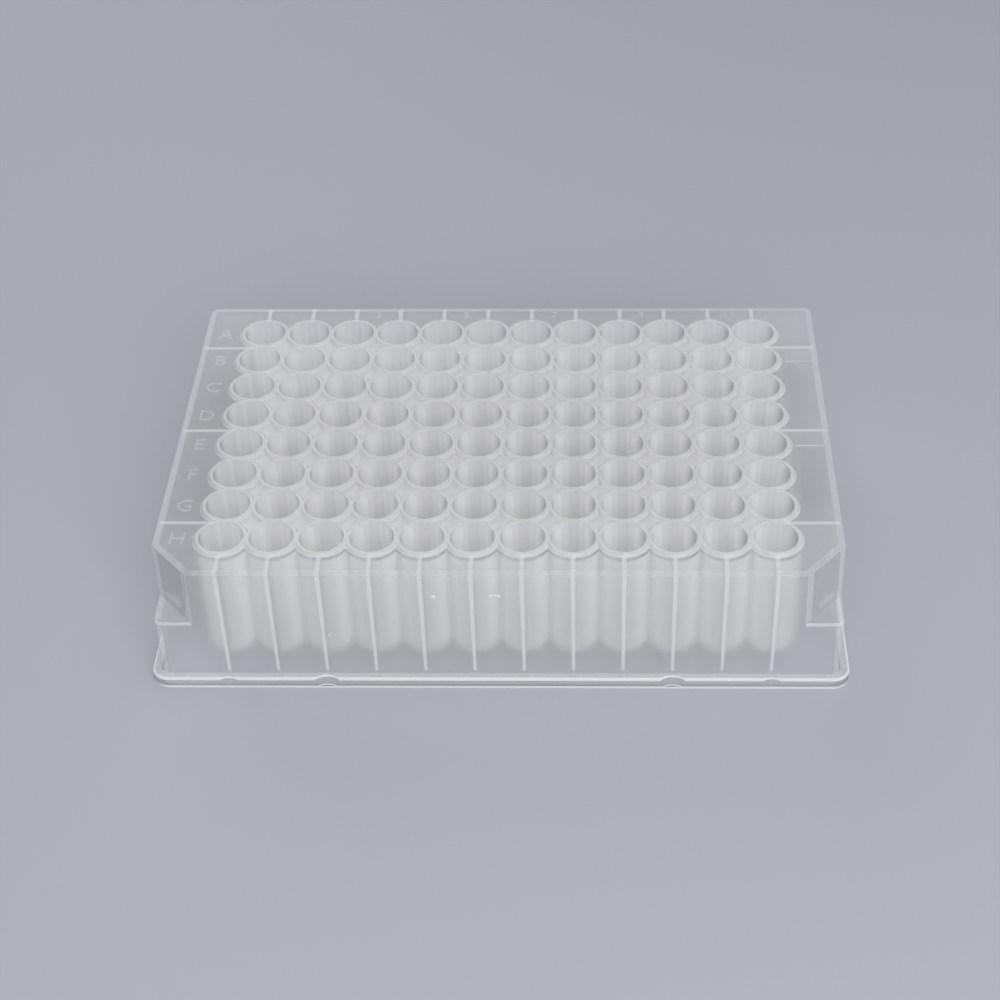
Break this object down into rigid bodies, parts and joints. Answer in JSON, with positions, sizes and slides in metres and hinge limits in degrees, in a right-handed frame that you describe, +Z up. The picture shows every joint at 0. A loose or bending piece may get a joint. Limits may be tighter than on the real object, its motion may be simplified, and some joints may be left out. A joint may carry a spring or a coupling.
{
  "type": "well plate",
  "caption": "Translucent moulded laboratory well plate: a hollow skirted block with a grid of round, U-bottomed sample wells and two cut corners.",
  "frame": {"origin": "middle of the footprint, on the plane that the plate stands on", "axes": "+X along the numbered columns, to the side with the two label recesses; +Y towards row A, the edge without cut corners; +Z up, out of the wells"},
  "size_m": [0.1278, 0.0854, 0.027],
  "materials": {
    "natural_polypropylene": "natural translucent polypropylene, satin moulded surface"
  },
  "bodies": {
    "root": {"well_plate": "natural_polypropylene"}
  },
  "joints": []
}
